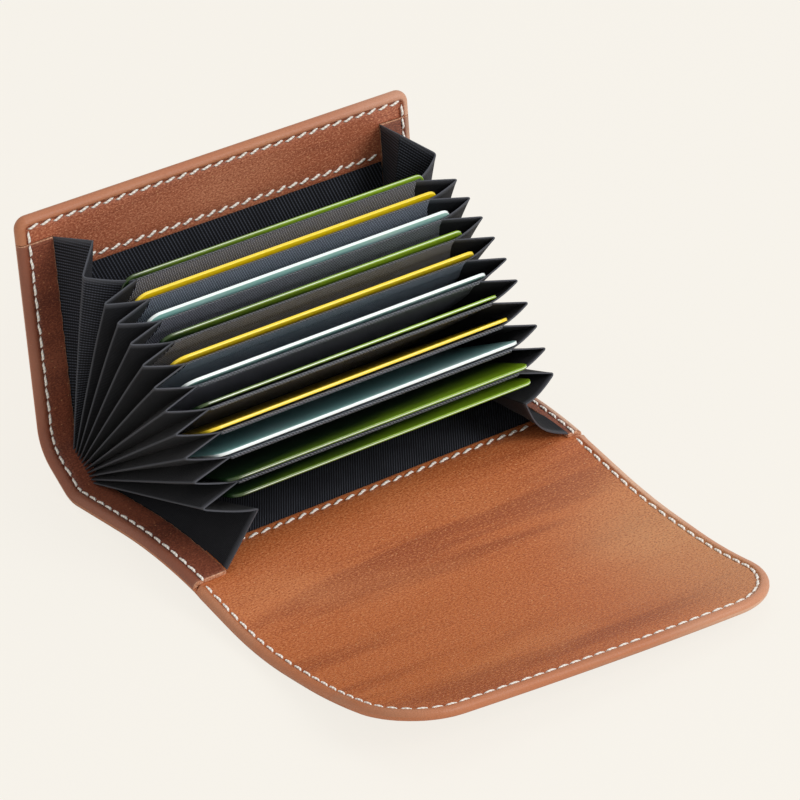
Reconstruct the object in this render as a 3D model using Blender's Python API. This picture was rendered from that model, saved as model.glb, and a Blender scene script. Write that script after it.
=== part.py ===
"""An accordion card holder of leather and fabric with a magnetic flap, lying open on a table.

The frame is in metres. X runs along the spine, the flap points to -Y, and Z is up from the table.
Most pieces are plates that follow a path in the YZ plane and are as wide along X as they need to be.
"""

import math

import bmesh
import bpy
import numpy as np
from mathutils import Vector

# The panels
PANEL_WIDTH = 0.1116
BACK_LENGTH = 0.0607
BACK_CORNER = 0.0045
BAND_HEIGHT = 0.0165
FRONT_RISE = 0.022
FRONT_ARCH = 0.036
FRONT_SLOPE = 0.001
BRIDGE_SLOPE = 0.0115
BRIDGE_CURVE = 0.020
BRIDGE_FLAT = 0.002
FLAP_FLAT = 0.006
FLAP_CURVE = 0.0185
FLAP_TIP = 0.018
FLAP_CORNER = 0.020

# The layers, from the outer face inwards
OUTER_LEATHER = 0.0011
INNER_LEATHER = 0.0008
LINING = 0.0004
STRIP = 0.0009
SEAT_GAP = 0.0003

# The strips and the front seam
STRIP_WIDTH = 0.009
STRIP_FRONT_LENGTH = 0.0535
STRIP_BACK_LENGTH = 0.054
FRONT_LINING_LENGTH = 0.044

# The accordion
POCKETS = 11
CARD_WIDTH = 0.0856
CARD_HEIGHT = 0.05398
CARD_THICKNESS = 0.00076
CARD_CORNER = 0.00318
CARD_CLEARANCE = 0.0001
LOW_CARDS = 7
LOW_CARD_FOOT = 0.0005
HIGH_CARD_FOOT = 0.0018
CARD_SIDE_CLEARANCE = 0.0008
DIVIDER = 0.0003
DIVIDER_HEIGHT = 0.0525
DIVIDER_CORNER = 0.001
FLOOR_GAP = 0.0003
GUSSET = 0.0003
GUSSET_START = 0.006
FREE_FOLD_HEIGHT = 0.056
FRONT_FOLD_HALF = 0.0415
GUSSET_GAP = 0.0007
PLEAT_DEPTH = 0.0067

# The magnets
MAGNET_RADIUS = 0.006
MAGNET_THICKNESS = 0.001
MAGNET_INSET = 0.0095
MAGNET_CLEARANCE = 0.0001
MAGNET_SIDE_CLEARANCE = 0.0003
BACK_MAGNET_HEIGHT = 0.0388

# Directions in the YZ plane, in degrees from +Y towards +Z, with the holder open
FRONT_DIRECTION = 171.5
SPINE_DIRECTION = 31.0
BACK_DIRECTION = 83.4
FIRST_DIVIDER = 109.4
LAST_DIVIDER = 155.2
FRONT_CARD_LEAN = 2.3
FREE_FOLD = 13.6
FRONT_FREE_FOLD = 10.0
FLAP_LIFT = 10.0

# Closed, each pocket keeps a small wedge
CLOSED_WEDGE = 0.5
CLOSED_FRONT_WEDGE = 2.5
CLOSED_CREASE = 90.0

ARC_STEP = 4.0
CORNER_STEPS = 5
GUSSET_ROWS = 4
ROUND_SIDES = 32
SHARP_EDGE = 40.0
STEEPEST_DROP = 30.0
HALVINGS = 60

HALF_WIDTH = PANEL_WIDTH / 2
STRIP_INNER = HALF_WIDTH - STRIP_WIDTH
LINING_HALF = STRIP_INNER - SEAT_GAP
SECOND_LAYER = OUTER_LEATHER + SEAT_GAP
THIRD_LAYER = SECOND_LAYER + INNER_LEATHER + SEAT_GAP
LINING_TOP = THIRD_LAYER + LINING
STRIP_TOP = THIRD_LAYER + STRIP
FOOT_PITCH = DIVIDER + CARD_THICKNESS + 2 * CARD_CLEARANCE
VALLEY_HALF = CARD_WIDTH / 2 + CARD_SIDE_CLEARANCE
RIDGE_HALF = VALLEY_HALF + PLEAT_DEPTH
DIVIDER_HALF = VALLEY_HALF - GUSSET_GAP - SEAT_GAP
FOLD_STEP = (LAST_DIVIDER - FIRST_DIVIDER) / (POCKETS - 2)

LEATHER = ((0.44, 0.19, 0.085, 1), 0.5, 0.0)
EDGE_LEATHER = ((0.30, 0.12, 0.055, 1), 0.55, 0.0)
FABRIC = ((0.02, 0.021, 0.026, 1), 0.85, 0.0)
BOARD = ((0.35, 0.31, 0.26, 1), 0.9, 0.0)
STEEL = ((0.6, 0.6, 0.62, 1), 0.3, 1.0)
GREEN = ((0.06, 0.16, 0.03, 1), 0.3, 0.0)
YELLOW = ((0.85, 0.58, 0.02, 1), 0.3, 0.0)
TEAL = ((0.33, 0.62, 0.60, 1), 0.3, 0.0)
CARD_COLOURS = (GREEN, YELLOW, TEAL, GREEN, YELLOW, TEAL, GREEN, YELLOW, TEAL, GREEN, GREEN)


def along(direction):
    """The unit vector in (y, z) at an angle in degrees from +Y."""
    return np.array([math.cos(math.radians(direction)), math.sin(math.radians(direction))])


def turned(vector, degrees):
    c = math.cos(math.radians(degrees))
    s = math.sin(math.radians(degrees))
    return np.array([c * vector[0] - s * vector[1], s * vector[0] + c * vector[1]])


class Path:
    """A smooth path in the YZ plane, as straight runs and arcs: (length, turn in degrees)."""

    def __init__(self, start, direction, runs, side):
        self.side = side
        self.runs = []
        point = np.array(start, float)
        done = 0.0
        for length, turn in runs:
            self.runs.append((done, length, point, direction, turn))
            point = self.step(point, direction, length, turn, 1.0)
            direction += turn
            done += length
        self.length = done

    def step(self, point, direction, length, turn, share):
        """The point that a share of a run further on reaches."""
        if not turn:
            return point + length * share * along(direction)
        radius = length / math.radians(turn)
        normal = turned(along(direction), 90)
        return point + radius * (normal - turned(normal, turn * share))

    def at(self, distance):
        """The point and the direction at a distance along the path. It runs on straight past its ends."""
        for begin, length, point, direction, turn in self.runs:
            if distance <= begin + length:
                break
        share = (distance - begin) / length
        if share < 0 or share > 1:
            flat = min(max(share, 0.0), 1.0)
            end = self.step(point, direction, length, turn, flat)
            heading = direction + turn * flat
            return end + (share - flat) * length * along(heading), heading
        return self.step(point, direction, length, turn, share), direction + turn * share

    def place(self, distance, level):
        """The point at a distance along the path and a height over its outer face."""
        point, heading = self.at(distance)
        return point + level * turned(along(heading), 90 * self.side)

    def stations(self, start, end):
        """Distances that follow the arcs between start and end."""
        found = {start, end}
        for begin, length, point, direction, turn in self.runs:
            steps = max(1, math.ceil(abs(turn) / ARC_STEP))
            for i in range(steps + 1):
                distance = begin + length * i / steps
                if start < distance < end:
                    found.add(distance)
        return sorted(found)


def flap_drop():
    """The downward heading after the arch that brings the flap's flat stretch down to the table."""

    def height(drop):
        path = front_path_from((0.0, 0.0), drop)
        return path.at(path.length - FLAP_TIP - FLAP_CURVE)[0][1]

    low, high = 0.0, STEEPEST_DROP
    for _ in range(HALVINGS):
        middle = (low + high) / 2
        if height(middle) > 0:
            low = middle
        else:
            high = middle
    return high


def front_path_from(start, drop):
    rise = 180 - FRONT_DIRECTION
    runs = (
        (FRONT_RISE, 0),
        (FRONT_ARCH, rise + drop),
        (FRONT_SLOPE + BRIDGE_SLOPE, 0),
        (BRIDGE_CURVE, -drop),
        (BRIDGE_FLAT + FLAP_FLAT, 0),
        (FLAP_CURVE, -FLAP_LIFT),
        (FLAP_TIP, 0),
    )
    return Path(start, FRONT_DIRECTION, runs, -1)


def miter(first, second):
    """How far a mitred end moves along a plate for each unit of height, for two directions."""
    inside = 180 - abs(abs(first - second) - 180)
    return 1 / math.tan(math.radians(inside) / 2)


# The creases, with the flap down on the table
FRONT_MITER = miter(FRONT_DIRECTION, SPINE_DIRECTION)
BACK_MITER = miter(BACK_DIRECTION, SPINE_DIRECTION + 180)
PIVOT_SPAN = POCKETS * FOOT_PITCH - 2 * (STRIP_TOP - LINING_TOP)
SPINE_LENGTH = PIVOT_SPAN + STRIP_TOP * (FRONT_MITER + BACK_MITER)
FLAP_DROP = flap_drop()
FRONT_LENGTH = FRONT_RISE + FRONT_ARCH + FRONT_SLOPE
BRIDGE_LENGTH = BRIDGE_SLOPE + BRIDGE_CURVE + BRIDGE_FLAT
FLAP_LENGTH = FLAP_FLAT + FLAP_CURVE + FLAP_TIP

# The part's middle along Y is at the origin
REACH = front_path_from((0.0, 0.0), FLAP_DROP).at(FRONT_LENGTH + BRIDGE_LENGTH + FLAP_LENGTH)[0][0]
SPREAD = (SPINE_LENGTH * along(SPINE_DIRECTION) + BACK_LENGTH * along(BACK_DIRECTION))[0]
FRONT_CREASE = np.array([-(REACH + SPREAD) / 2, 0.0])

FRONT = front_path_from(FRONT_CREASE, FLAP_DROP)
SPINE = Path(FRONT_CREASE, SPINE_DIRECTION, ((SPINE_LENGTH, 0),), 1)
BACK = Path(SPINE.at(SPINE_LENGTH)[0], BACK_DIRECTION, ((BACK_LENGTH, 0),), 1)
FRONT_PIVOT = FRONT.place(STRIP_TOP * FRONT_MITER, STRIP_TOP)
BACK_PIVOT = BACK.place(STRIP_TOP * BACK_MITER, STRIP_TOP)
FIRST_BEND = FRONT.place(FRONT_LENGTH, SECOND_LAYER + INNER_LEATHER)
SECOND_BEND = FRONT.place(FRONT_LENGTH + BRIDGE_LENGTH, SECOND_LAYER + INNER_LEATHER)


def divider_direction(k):
    """Divider 0 is the back panel and divider POCKETS is the front panel."""
    if k == 0:
        return BACK_DIRECTION
    if k == POCKETS:
        return FRONT_DIRECTION
    return FIRST_DIVIDER + (k - 1) * FOLD_STEP


def foot_height(k):
    """How far along the spine from the front pivot a foot stands."""
    return (POCKETS - k) * FOOT_PITCH - (STRIP_TOP - LINING_TOP)


def foot_at(k, pivot, spine_direction):
    """The foot of a divider on the spine's lining, for a spine in any position."""
    inward = turned(along(spine_direction), 90)
    floor = FLOOR_GAP - (STRIP_TOP - LINING_TOP)
    return pivot + foot_height(k) * along(spine_direction) + floor * inward


def closed_turn(k):
    """How far a divider turns from open to closed, in degrees about +X."""
    closed = FRONT_DIRECTION - CLOSED_FRONT_WEDGE - (POCKETS - 1 - k) * CLOSED_WEDGE
    return closed - divider_direction(k)


CLOSED_SPINE = FRONT_DIRECTION - CLOSED_CREASE


def pole(turn, before, after):
    """The point about which a turn takes one place to another."""
    c = math.cos(math.radians(turn))
    s = math.sin(math.radians(turn))
    matrix = np.array([[1 - c, s], [-s, 1 - c]])
    return np.linalg.solve(matrix, after - turned(before, turn))


def hinge_between(parent, child):
    """The hinge that opens and closes one pocket: its place and its turn, with the holder open."""
    if parent == POCKETS:
        parent_turn = 0.0
        parent_before = FRONT_PIVOT
        parent_after = FRONT_PIVOT
    else:
        parent_turn = closed_turn(parent)
        parent_before = foot_at(parent, FRONT_PIVOT, SPINE_DIRECTION)
        parent_after = foot_at(parent, FRONT_PIVOT, CLOSED_SPINE)
    if child == 0:
        child_before = BACK_PIVOT
        child_after = FRONT_PIVOT + PIVOT_SPAN * along(CLOSED_SPINE)
    else:
        child_before = foot_at(child, FRONT_PIVOT, SPINE_DIRECTION)
        child_after = foot_at(child, FRONT_PIVOT, CLOSED_SPINE)
    turn = closed_turn(child) - parent_turn
    carried = parent_before + turned(child_after - parent_after, -parent_turn)
    return pole(turn, child_before, carried), turn


HINGES = {k: hinge_between(k + 1, k) for k in range(POCKETS)}


def material(name, looks):
    made = bpy.data.materials.new(name)
    made.use_nodes = True
    shader = made.node_tree.nodes["Principled BSDF"]
    shader.inputs["Base Color"].default_value = looks[0]
    shader.inputs["Roughness"].default_value = looks[1]
    shader.inputs["Metallic"].default_value = looks[2]
    made.diffuse_color = looks[0]
    return made


def add_object(name, mesh_data, pivot, looks):
    """Puts a bmesh in the scene with its origin on its joint's axis, at a (y, z) place."""
    bmesh.ops.recalc_face_normals(mesh_data, faces=mesh_data.faces)
    origin = Vector((0.0, pivot[0], pivot[1]))
    bmesh.ops.translate(mesh_data, verts=mesh_data.verts, vec=-origin)
    mesh = bpy.data.meshes.new(name)
    mesh_data.to_mesh(mesh)
    mesh_data.free()
    mesh.materials.append(material(name, looks))
    made = bpy.data.objects.new(name, mesh)
    made.location = origin
    bpy.context.collection.objects.link(made)
    return made


def loft(sections):
    """A closed body through a row of sections, each a list of points with the same count."""
    made = bmesh.new()
    rows = [[made.verts.new(point) for point in section] for section in sections]
    count = len(rows[0])
    for row, following in zip(rows, rows[1:]):
        for i in range(count):
            j = (i + 1) % count
            made.faces.new((row[i], row[j], following[j], following[i]))
    made.faces.new(rows[0])
    made.faces.new(rows[-1])
    return made


def rounded_end(end, half, radius):
    """Stations and half widths of an end with two rounded corners."""
    found = []
    for i in range(1, CORNER_STEPS + 1):
        angle = math.pi / 2 * i / CORNER_STEPS
        found.append((end - radius + radius * math.sin(angle), half - radius + radius * math.cos(angle)))
    return found


def plate(name, path, start, end, sides, low, high, pivot, looks, **options):
    """A plate on a path between two distances, two X places and two heights over the outer face.

    options: start_miter and end_miter cut an end along a crease, and corner rounds the far end.
    """
    left, right = sides
    corner = options.get("corner", 0)
    stations = [(distance, 0.0) for distance in path.stations(start, end - corner)]
    if corner:
        stations += [(distance, right - half) for distance, half in rounded_end(end, right, corner)]
    sections = []
    for i, (distance, shrink) in enumerate(stations):
        lean = 0.0
        if i == 0:
            lean = options.get("start_miter", 0.0)
        elif i == len(stations) - 1:
            lean = -options.get("end_miter", 0.0)
        bottom = path.place(distance + lean * low, low)
        top = path.place(distance + lean * high, high)
        sections.append([
            (left + shrink, bottom[0], bottom[1]),
            (right - shrink, bottom[0], bottom[1]),
            (right - shrink, top[0], top[1]),
            (left + shrink, top[0], top[1]),
        ])
    return add_object(name, loft(sections), pivot, looks)


def full(half):
    return -half, half


def mirrored_strips(name, path, start, end, pivot, **options):
    """A binding strip on each side."""
    for side, sides in (("left", (-HALF_WIDTH, -STRIP_INNER)), ("right", (STRIP_INNER, HALF_WIDTH))):
        plate(f"{name}_{side}_strip", path, start, end, sides, THIRD_LAYER, STRIP_TOP, pivot,
              LEATHER, **options)


def cut_magnet_seat(piece, seat):
    """Cuts a round seat out of a leather or board piece."""
    boolean = piece.modifiers.new("magnet_seat", "BOOLEAN")
    boolean.operation = "DIFFERENCE"
    boolean.object = seat


def disc(radius, low, high, path, distance):
    """A round body square to a straight stretch of a path, between two heights."""
    rows = []
    forward = along(path.at(distance)[1])
    for level in (low, high):
        centre = path.place(distance, level)
        ring = []
        for i in range(ROUND_SIDES):
            angle = 2 * math.pi * i / ROUND_SIDES
            point = centre + radius * math.sin(angle) * forward
            ring.append((radius * math.cos(angle), point[0], point[1]))
        rows.append(ring)
    return loft(rows)


def magnet(name, path, distance, pivot, carriers):
    """A disc magnet between two layers, each with a seat for it."""
    middle = OUTER_LEATHER
    low = middle - MAGNET_THICKNESS / 2
    high = middle + MAGNET_THICKNESS / 2
    made = add_object(name, disc(MAGNET_RADIUS, low, high, path, distance), pivot, STEEL)
    made.data.shade_smooth()
    made.data.set_sharp_from_angle(angle=math.radians(SHARP_EDGE))
    seat_body = disc(MAGNET_RADIUS + MAGNET_SIDE_CLEARANCE, low - MAGNET_CLEARANCE,
                     high + MAGNET_CLEARANCE, path, distance)
    seat = add_object(f"{name}_seat", seat_body, pivot, STEEL)
    seat.hide_render = True
    seat.display_type = "WIRE"
    for carrier in carriers:
        cut_magnet_seat(carrier, seat)


def build_front():
    """The front panel: the root, which lies on the table through the spine and the flap."""
    half_gap = SEAT_GAP / 2
    end = FRONT_LENGTH - half_gap
    plate("front_outer_leather", FRONT, half_gap, end, full(HALF_WIDTH), 0.0, OUTER_LEATHER,
          FRONT_CREASE, LEATHER, start_miter=FRONT_MITER)
    plate("front_inner_leather", FRONT, half_gap, end, full(HALF_WIDTH), SECOND_LAYER,
          SECOND_LAYER + INNER_LEATHER, FRONT_CREASE, LEATHER, start_miter=FRONT_MITER)
    plate("front_lining", FRONT, half_gap, FRONT_LINING_LENGTH, full(LINING_HALF), THIRD_LAYER,
          LINING_TOP, FRONT_CREASE, FABRIC, start_miter=FRONT_MITER)
    mirrored_strips("front", FRONT, half_gap, STRIP_FRONT_LENGTH, FRONT_CREASE, start_miter=FRONT_MITER)


def build_flap():
    """The flap, which bends at two places to reach over the accordion to the back."""
    half_gap = SEAT_GAP / 2
    start = FRONT_LENGTH + half_gap
    end = FRONT_LENGTH + BRIDGE_LENGTH - half_gap
    plate("bridge_outer_leather", FRONT, start, end, full(HALF_WIDTH), 0.0, OUTER_LEATHER,
          FIRST_BEND, LEATHER)
    plate("bridge_inner_leather", FRONT, start, end, full(HALF_WIDTH), SECOND_LAYER,
          SECOND_LAYER + INNER_LEATHER, FIRST_BEND, LEATHER)
    start = FRONT_LENGTH + BRIDGE_LENGTH + half_gap
    end = FRONT.length
    outer = plate("flap_outer_leather", FRONT, start, end, full(HALF_WIDTH), 0.0, OUTER_LEATHER,
                  SECOND_BEND, LEATHER, corner=FLAP_CORNER)
    inner = plate("flap_inner_leather", FRONT, start, end, full(HALF_WIDTH), SECOND_LAYER,
                  SECOND_LAYER + INNER_LEATHER, SECOND_BEND, LEATHER, corner=FLAP_CORNER)
    magnet("flap_magnet", FRONT, end - MAGNET_INSET, SECOND_BEND, (outer, inner))


def build_spine():
    half_gap = SEAT_GAP / 2
    end = SPINE_LENGTH - half_gap
    miters = {"start_miter": FRONT_MITER, "end_miter": BACK_MITER}
    plate("spine_outer_leather", SPINE, half_gap, end, full(HALF_WIDTH), 0.0, OUTER_LEATHER,
          FRONT_PIVOT, LEATHER, **miters)
    plate("spine_inner_leather", SPINE, half_gap, end, full(HALF_WIDTH), SECOND_LAYER,
          SECOND_LAYER + INNER_LEATHER, FRONT_PIVOT, LEATHER, **miters)
    plate("spine_lining", SPINE, half_gap, end, full(LINING_HALF), THIRD_LAYER, LINING_TOP,
          FRONT_PIVOT, FABRIC, **miters)
    mirrored_strips("spine", SPINE, half_gap, end, FRONT_PIVOT, **miters)


def build_back():
    pivot = HINGES[0][0]
    half_gap = SEAT_GAP / 2
    outer = plate("back_outer_leather", BACK, half_gap, BACK_LENGTH, full(HALF_WIDTH), 0.0,
                  OUTER_LEATHER, pivot, LEATHER, start_miter=BACK_MITER, corner=BACK_CORNER)
    board = plate("back_stiffener", BACK, half_gap, BACK_LENGTH, full(HALF_WIDTH), SECOND_LAYER,
                  SECOND_LAYER + INNER_LEATHER, pivot, BOARD, start_miter=BACK_MITER,
                  corner=BACK_CORNER)
    band_start = BACK_LENGTH - BAND_HEIGHT
    plate("back_lining", BACK, half_gap, band_start - SEAT_GAP, full(LINING_HALF), THIRD_LAYER,
          LINING_TOP, pivot, FABRIC, start_miter=BACK_MITER)
    mirrored_strips("back", BACK, half_gap, STRIP_BACK_LENGTH, pivot, start_miter=BACK_MITER)
    add_object("back_top_band", band_body(band_start), pivot, LEATHER)
    magnet("back_magnet", BACK, BACK_MAGNET_HEIGHT, pivot, (outer, board))


def band_body(band_start):
    """The leather band inside the back's top: narrow between the strips and full width above them."""
    shoulder = STRIP_BACK_LENGTH + SEAT_GAP
    rows = [
        (band_start, LINING_HALF),
        (shoulder, LINING_HALF),
        (shoulder + SEAT_GAP, HALF_WIDTH),
        (BACK_LENGTH - BACK_CORNER, HALF_WIDTH),
    ]
    rows += rounded_end(BACK_LENGTH, HALF_WIDTH, BACK_CORNER)
    sections = []
    for distance, half in rows:
        bottom = BACK.place(distance, THIRD_LAYER)
        top = BACK.place(distance, STRIP_TOP)
        sections.append([
            (-half, bottom[0], bottom[1]),
            (half, bottom[0], bottom[1]),
            (half, top[0], top[1]),
            (-half, top[0], top[1]),
        ])
    return loft(sections)


def divider_path(k):
    """A straight path up a divider from its foot, with its rear face side as the inside."""
    foot = foot_at(k, FRONT_PIVOT, SPINE_DIRECTION)
    return Path(foot, divider_direction(k), ((DIVIDER_HEIGHT, 0),), -1)


def build_dividers():
    for k in range(1, POCKETS):
        plate(f"divider_{k:02d}", divider_path(k), 0.0, DIVIDER_HEIGHT, full(DIVIDER_HALF),
              -DIVIDER / 2, DIVIDER / 2, HINGES[k][0], FABRIC, corner=DIVIDER_CORNER)


def card_seat(k):
    """The path that a card slides on, and the height of its underside over that path.

    Each card lies on the divider in front of it. The last one leans beside the last divider.
    """
    if k == POCKETS:
        behind = divider_path(k - 1)
        leaning = Path(behind.place(0.0, 0.0), divider_direction(k - 1) + FRONT_CARD_LEAN,
                       ((DIVIDER_HEIGHT, 0),), -1)
        return leaning, -DIVIDER / 2 - CARD_CLEARANCE - CARD_THICKNESS
    return divider_path(k), DIVIDER / 2 + CARD_CLEARANCE


def build_cards():
    for k in range(1, POCKETS + 1):
        path, level = card_seat(k)
        foot = LOW_CARD_FOOT if k <= LOW_CARDS else HIGH_CARD_FOOT
        rows = []
        for distance, half in rounded_end(CARD_HEIGHT, CARD_WIDTH / 2, CARD_CORNER):
            rows.append((distance, half))
        rows.insert(0, (CARD_HEIGHT - CARD_CORNER, CARD_WIDTH / 2))
        rows = [(CARD_HEIGHT - distance, half) for distance, half in reversed(rows)] + rows
        sections = []
        for distance, half in rows:
            bottom = path.place(foot + distance, level)
            top = path.place(foot + distance, level + CARD_THICKNESS)
            sections.append([
                (-half, bottom[0], bottom[1]),
                (half, bottom[0], bottom[1]),
                (half, top[0], top[1]),
                (-half, top[0], top[1]),
            ])
        pivot = path.place(foot, level)
        add_object(f"card_{k:02d}", loft(sections), pivot, CARD_COLOURS[k - 1])


def fold_lines():
    """The gusset's folds from the back strip to the front strip: a half width and points going up."""
    clear = LINING_TOP + SEAT_GAP + GUSSET / 2
    over_band = STRIP_TOP + SEAT_GAP + GUSSET / 2
    edge = LINING_HALF - SEAT_GAP
    shares = [i / GUSSET_ROWS for i in range(GUSSET_ROWS + 1)]

    def sewn(path, end, low_level, high_level):
        """A sewn edge, which follows its panel."""
        found = []
        for share in shares:
            distance = GUSSET_START + share * (end - GUSSET_START)
            found.append(path.place(distance, low_level + share * (high_level - low_level)))
        return edge, found

    def fold(half, direction, foot, top=DIVIDER_HEIGHT):
        """A straight fold up from the spine."""
        heights = [GUSSET_START + share * (top - GUSSET_START) for share in shares]
        return half, [foot + height * along(direction) for height in heights]

    feet = [foot_at(k, FRONT_PIVOT, SPINE_DIRECTION) for k in range(POCKETS + 1)]
    directions = [divider_direction(k) for k in range(POCKETS + 1)]
    directions[0] += FREE_FOLD
    directions[-1] -= FRONT_FREE_FOLD
    lines = [sewn(BACK, STRIP_BACK_LENGTH, clear, over_band)]
    for k in range(POCKETS):
        top = DIVIDER_HEIGHT if k else FREE_FOLD_HEIGHT
        lines.append(fold(VALLEY_HALF, directions[k], feet[k], top))
        middle = (directions[k] + directions[k + 1]) / 2
        lines.append(fold(RIDGE_HALF, middle, (feet[k] + feet[k + 1]) / 2))
    lines.append(fold(FRONT_FOLD_HALF, directions[-1], feet[-1], FREE_FOLD_HEIGHT))
    lines.append(sewn(FRONT, STRIP_FRONT_LENGTH, clear, clear))
    return lines


def build_gusset(name, side):
    """One pleated side wall, a sheet of even thickness that zigzags from panel to panel."""
    lines = fold_lines()
    points = np.array([[(side * half, y, z) for y, z in ends] for half, ends in lines])
    across = points[1:] - points[:-1]
    up = points[:, -1] - points[:, 0]
    normals = np.cross(across.mean(axis=1), up[1:] + up[:-1])
    normals /= np.linalg.norm(normals, axis=1)[:, None]
    before = np.vstack([normals[:1], normals])
    after = np.vstack([normals, normals[-1:]])
    bisector = before + after
    bisector /= np.linalg.norm(bisector, axis=1)[:, None]
    stretch = np.minimum(1 / np.abs((bisector * before).sum(axis=1)), GUSSET_GAP / GUSSET)
    offset = bisector * (stretch * GUSSET / 2)[:, None]
    made = bmesh.new()
    skins = []
    for sign in (-1, 1):
        skin = points + sign * offset[:, None]
        skins.append([[made.verts.new(point) for point in line] for line in skin])
    count = len(lines)
    for skin in skins:
        for i in range(count - 1):
            for j in range(GUSSET_ROWS):
                made.faces.new((skin[i][j], skin[i + 1][j], skin[i + 1][j + 1], skin[i][j + 1]))
    inner, outer = skins
    for i in range(count - 1):
        for j in (0, GUSSET_ROWS):
            made.faces.new((inner[i][j], inner[i + 1][j], outer[i + 1][j], outer[i][j]))
    for i in (0, count - 1):
        for j in range(GUSSET_ROWS):
            made.faces.new((inner[i][j], inner[i][j + 1], outer[i][j + 1], outer[i][j]))
    return add_object(name, made, FRONT_CREASE, FABRIC)


def main():
    for old in list(bpy.data.objects):
        bpy.data.objects.remove(old)
    build_front()
    build_flap()
    build_spine()
    build_back()
    build_dividers()
    build_cards()
    build_gusset("left_gusset", -1)
    build_gusset("right_gusset", 1)


main()
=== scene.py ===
import bmesh
import bpy
import numpy as np
from mathutils import Matrix


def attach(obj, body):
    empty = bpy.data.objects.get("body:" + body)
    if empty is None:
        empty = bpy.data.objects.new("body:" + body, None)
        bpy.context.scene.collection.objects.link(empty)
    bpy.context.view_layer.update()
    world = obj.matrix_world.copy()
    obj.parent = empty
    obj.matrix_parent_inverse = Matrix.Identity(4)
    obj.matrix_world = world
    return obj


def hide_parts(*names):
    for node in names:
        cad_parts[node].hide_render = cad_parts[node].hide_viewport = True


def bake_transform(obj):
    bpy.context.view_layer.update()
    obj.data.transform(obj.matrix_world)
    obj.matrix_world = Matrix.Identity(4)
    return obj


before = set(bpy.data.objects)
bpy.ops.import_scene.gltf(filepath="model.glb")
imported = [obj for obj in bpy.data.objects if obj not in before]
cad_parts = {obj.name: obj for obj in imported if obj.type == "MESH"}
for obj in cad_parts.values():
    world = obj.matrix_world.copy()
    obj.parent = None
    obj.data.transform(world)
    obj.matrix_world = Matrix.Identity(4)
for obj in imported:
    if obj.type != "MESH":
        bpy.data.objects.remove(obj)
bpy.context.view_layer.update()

# Sizes in millimetres, the same as in the part's source.
HALF = 55.8
BACK_LENGTH = 60.7
SPINE_LENGTH = 15.75373
FRONT_CREASE = np.array([56.78769, 0.0])
FRONT_DIRECTION, SPINE_DIRECTION, BACK_DIRECTION = 171.5, 31.0, 83.4
FLAP_DROP = 8.39091603
FRONT_MITER = 0.35903669
STACK = 3.4
STRIP_INNER = 46.8
STRIP_FRONT_LENGTH, STRIP_BACK_LENGTH = 53.5, 54.0
BAND_HEIGHT = 16.5
LINING_HALF, FRONT_LINING_LENGTH = 46.5, 44.0
CARD_WIDTH, CARD_HEIGHT, CARD_THICKNESS, CARD_CORNER = 85.6, 53.98, 0.76, 3.18
DIVIDER_HEIGHT = 52.5
VALLEY_HALF, RIDGE_HALF = 43.6, 50.3
FREE_FOLD_HEIGHT = 56.0

# Looks of the real one that the solids leave plain.
SEAM_INSET = 2.6
RIM = 2.7
BACK_CORNER, FLAP_CORNER = 3.2, 17.0
BACK_BEND, FRONT_BEND = 12.0, 8.0
FLAP_TWIST = 8.0
HEM_RISE = (0.7, 0.5, 0.0, -0.1, -0.2, 0.4, 1.0, 1.5, 1.5, 1.2)
VALLEY_TOP_HALF, FRONT_FOLD_HALF = 39.6, 38.2
CARD_LEAN = 0.45
CARD_1_LEAN = 0.1
PITCH, STITCH_LENGTH, STITCH_WIDTH = 3.35, 3.12, 0.70
LINING_LEVELS = (2.45, 2.85)
ROW_INSET = 1.9
THINNING = (53.5, 56.5)
FOLD_START = 0.6
REAR_FOLD_DIRECTION, FRONT_FOLD_DIRECTION = BACK_DIRECTION + 13.6, FRONT_DIRECTION - 10
FRONT_LINING_EXTRA = 4.3
SIDES = ((-1, "left"), (1, "right"))


def along(degrees):
    """Unit (y, z) vectors that point at the given angles."""
    angle = np.radians(degrees)
    return np.stack([np.cos(angle), np.sin(angle)], axis=-1)


def ease(low, high, value):
    """Rises smoothly from 0 at low to 1 at high: 3 s^2 - 2 s^3 of the share s of the way."""
    share = np.clip((value - low) / (high - low), 0, 1)
    return share * share * (3 - 2 * share)


def quarter(share):
    """Height of a quarter circle over a share s of its width: the root of 1 - (1 - s)^2."""
    return np.sqrt(1 - (1 - np.clip(share, 0, 1)) ** 2)


def peak(offset, width):
    """A bell curve, 1 at offset 0: e to the minus (offset / width)^2."""
    return np.exp(-((offset / width) ** 2))


def follow(path, distance, level):
    """Points (y, z) at a distance along a path of straight runs and arcs, then level millimetres to its
    right. On an arc the heading turns evenly and the point circles the arc's centre."""
    here, heading, runs = path
    distance, level = np.broadcast_arrays(np.asarray(distance, float), np.asarray(level, float))
    points = np.empty(distance.shape + (2,))
    done = 0.0
    for number, (length, turn) in enumerate(runs):
        low = -np.inf if number == 0 else done
        high = np.inf if number == len(runs) - 1 else done + length
        mask = (distance >= low) & (distance <= high)
        local = distance[mask] - done
        heads = heading + turn * local / length
        if turn == 0:
            spots = here + local[:, None] * along(heading)
            end = here + length * along(heading)
        else:
            radius = length / np.radians(turn)
            centre = here + radius * along(heading + 90)
            spots = centre - radius * along(heads + 90)
            end = centre - radius * along(heading + turn + 90)
        points[mask] = spots + level[mask][:, None] * along(heads - 90)
        here, heading, done = end, heading + turn, done + length
    return points


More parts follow.
